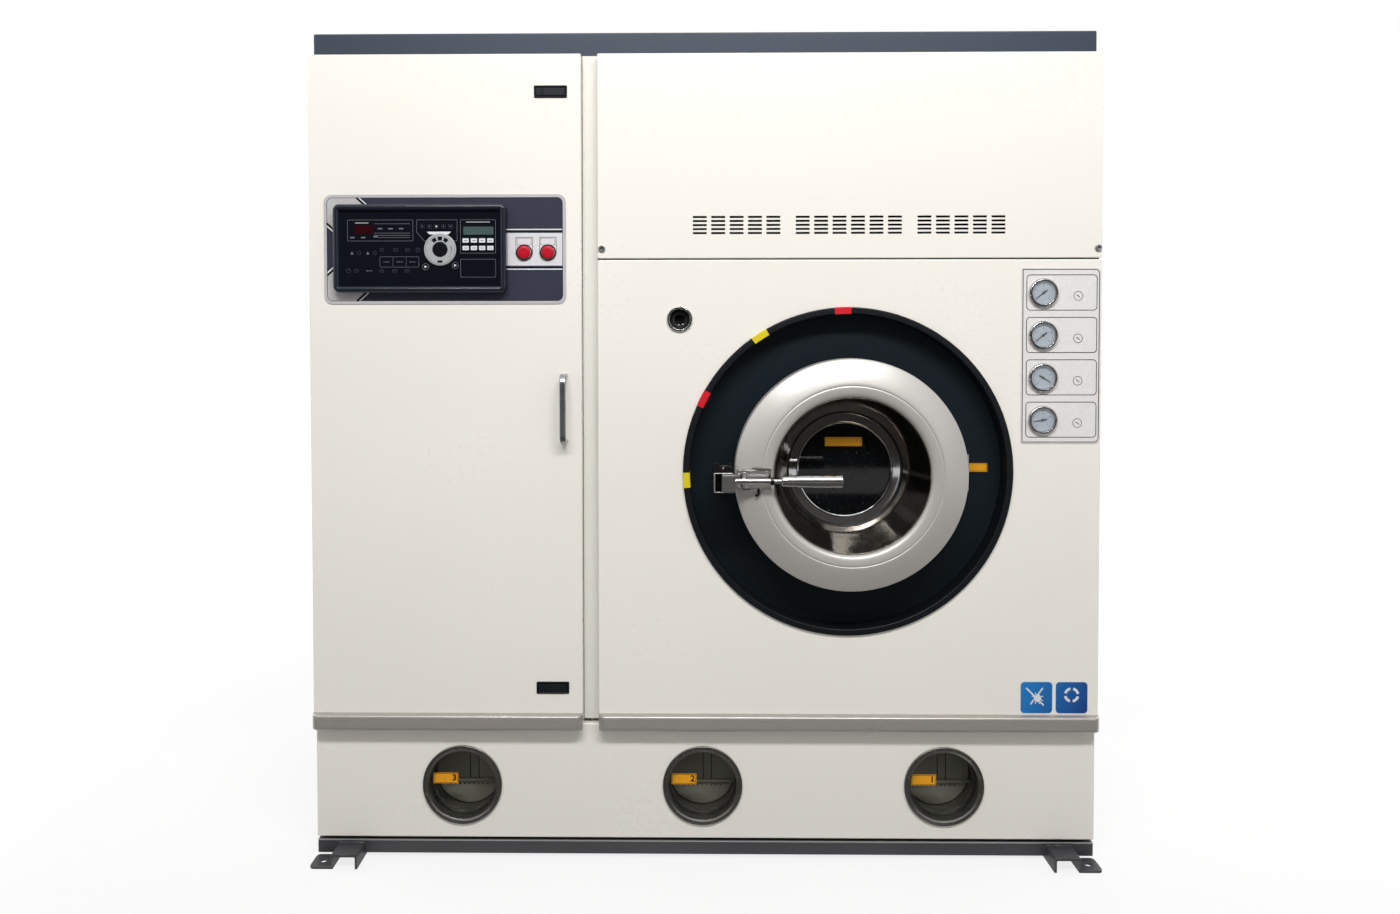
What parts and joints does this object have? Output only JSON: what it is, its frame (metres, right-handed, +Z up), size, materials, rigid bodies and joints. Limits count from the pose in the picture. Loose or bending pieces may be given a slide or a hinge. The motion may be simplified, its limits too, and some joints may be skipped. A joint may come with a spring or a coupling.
{
  "type": "dry cleaning machine",
  "caption": "Free-standing closed-circuit dry cleaning machine: cabinet on a base frame, round loading door with lever latch, control cabinet, gauges and sight glasses.",
  "frame": {"origin": "on the floor under the middle of the bounding box", "axes": "+Z up, -Y towards the person at the doors, +X to that person's right"},
  "size_m": [1.8, 1.3274, 1.91],
  "materials": {
    "enamel": "satin warm white enamel",
    "slate": "satin slate paint",
    "frame_steel": "dark grey painted steel",
    "tub_paint": "near-black satin paint",
    "rubber": "black rubber",
    "ring_silver": "silver-grey satin",
    "polished_steel": "polished stainless steel",
    "brushed_steel": "brushed steel",
    "aluminium": "turned aluminium",
    "handle_silver": "satin anodised",
    "black_plastic": "black moulding",
    "red_plastic": "red moulding",
    "console_print": "printed face plate",
    "gauge_print": "printed face plate",
    "dark_glass": "clear glass over a dark inside",
    "cast_iron": "as cast",
    "motor_paint": "machine paint"
  },
  "bodies": {
    "machine": {"base_frame": "frame_steel", "left_side_panel": "enamel", "right_side_panel": "enamel", "back_panel": "enamel", "top_cover": "slate", "inner_frame": "enamel", "lower_front_panel": "enamel", "upper_vent_panel": "enamel", "cover_screw_left": "brushed_steel", "cover_screw_right": "brushed_steel", "loading_panel": "enamel", "opening_trim": "rubber", "sight_port": "polished_steel", "gauge_plate": "gauge_print", "cabinet_hinge_rod": "brushed_steel", "solvent_tank": "brushed_steel", "tub": "tub_paint", "drive_belt": "rubber", "drive_motor": "motor_paint", "strike_bracket": "brushed_steel", "recovery_casing": "brushed_steel", "distillation_still": "brushed_steel", "filter_vessel": "brushed_steel", "solvent_pump": "motor_paint", "electrical_plate": "brushed_steel", "porthole_ring_1": "polished_steel", "porthole_glass_1": "dark_glass", "porthole_ring_2": "polished_steel", "porthole_glass_2": "dark_glass", "porthole_ring_3": "polished_steel", "porthole_glass_3": "dark_glass", "gauge_case_1": "brushed_steel", "gauge_case_2": "brushed_steel", "gauge_case_3": "brushed_steel", "gauge_case_4": "brushed_steel"},
    "cabinet_door": {"cabinet_door": "enamel", "pull_handle": "handle_silver", "console_plate": "console_print", "console_housing": "black_plastic", "latch_bezel_lower": "black_plastic", "latch_bezel_upper": "black_plastic"},
    "latch_paddle_lower": {"latch_paddle_lower": "black_plastic"},
    "latch_paddle_upper": {"latch_paddle_upper": "black_plastic"},
    "push_button_left": {"push_button_left": "red_plastic"},
    "push_button_right": {"push_button_right": "red_plastic"},
    "loading_door": {"door_ring": "ring_silver", "door_pan": "polished_steel", "door_glass": "dark_glass", "glass_retainer": "polished_steel", "door_gasket": "rubber", "latch_pivot": "polished_steel"},
    "latch_lever": {"latch_lever": "aluminium"},
    "drum": {"drum": "polished_steel", "drum_shaft_pulley": "cast_iron"},
    "motor_pulley": {"motor_pulley": "cast_iron"},
    "fan_wheel": {"fan_wheel": "aluminium"},
    "gauge_needle_1": {"gauge_needle_1": "black_plastic"},
    "gauge_needle_2": {"gauge_needle_2": "black_plastic"},
    "gauge_needle_3": {"gauge_needle_3": "black_plastic"},
    "gauge_needle_4": {"gauge_needle_4": "black_plastic"}
  },
  "joints": [
    {"name": "cabinet_door_swing", "type": "hinge", "parent": "machine", "child": "cabinet_door", "pos_m": [-0.89, -0.52425, 1.084], "axis": [0, 0, -1], "range_deg": [0, 110]},
    {"name": "loading_door_swing", "type": "hinge", "parent": "machine", "child": "loading_door", "pos_m": [0.59, -0.54325, 0.903], "axis": [0, 0, 1], "range_deg": [0, 110]},
    {"name": "latch_lever_swing", "type": "hinge", "parent": "loading_door", "child": "latch_lever", "pos_m": [0.086, -0.63825, 0.897], "axis": [0, 0, -1], "range_deg": [0, 35]},
    {"name": "drum_spin", "type": "hinge", "parent": "machine", "child": "drum", "pos_m": [0.327, -0.23325, 0.903], "axis": [0, 1, 0], "continuous": true},
    {"name": "motor_spin", "type": "hinge", "parent": "machine", "child": "motor_pulley", "pos_m": [0.765, 0.17675, 0.415], "axis": [0, 1, 0], "continuous": true},
    {"name": "fan_spin", "type": "hinge", "parent": "machine", "child": "fan_wheel", "pos_m": [0.61, -0.28325, 1.5743], "axis": [0, 1, 0], "continuous": true},
    {"name": "latch_paddle_lower_tilt", "type": "hinge", "parent": "cabinet_door", "child": "latch_paddle_lower", "pos_m": [-0.36425, -0.54325, 0.405], "axis": [0, 0, -1], "range_deg": [0, 25], "stiffness_Nm_per_rad": 0.1},
    {"name": "latch_paddle_upper_tilt", "type": "hinge", "parent": "cabinet_door", "child": "latch_paddle_upper", "pos_m": [-0.36425, -0.54325, 1.766], "axis": [0, 0, -1], "range_deg": [0, 25], "stiffness_Nm_per_rad": 0.1},
    {"name": "push_button_left_press", "type": "slide", "parent": "cabinet_door", "child": "push_button_left", "axis": [0, 1, 0], "range_m": [0, 0.004], "stiffness_N_per_m": 400},
    {"name": "push_button_right_press", "type": "slide", "parent": "cabinet_door", "child": "push_button_right", "axis": [0, 1, 0], "range_m": [0, 0.004], "stiffness_N_per_m": 400},
    {"name": "gauge_needle_1_sweep", "type": "hinge", "parent": "machine", "child": "gauge_needle_1", "pos_m": [0.767, -0.54925, 1.3095], "axis": [0, 1, 0], "range_deg": [-7, 263], "stiffness_Nm_per_rad": 0.002},
    {"name": "gauge_needle_2_sweep", "type": "hinge", "parent": "machine", "child": "gauge_needle_2", "pos_m": [0.767, -0.54925, 1.2135], "axis": [0, 1, 0], "range_deg": [-7, 263], "stiffness_Nm_per_rad": 0.002},
    {"name": "gauge_needle_3_sweep", "type": "hinge", "parent": "machine", "child": "gauge_needle_3", "pos_m": [0.767, -0.54925, 1.1175], "axis": [0, 1, 0], "range_deg": [-255, 15], "stiffness_Nm_per_rad": 0.002},
    {"name": "gauge_needle_4_sweep", "type": "hinge", "parent": "machine", "child": "gauge_needle_4", "pos_m": [0.767, -0.54925, 1.0215], "axis": [0, 1, 0], "range_deg": [-35, 235], "stiffness_Nm_per_rad": 0.002}
  ],
  "couplings": [
    {"joint": "motor_spin", "follows": "drum_spin", "ratio": 4.8}
  ]
}
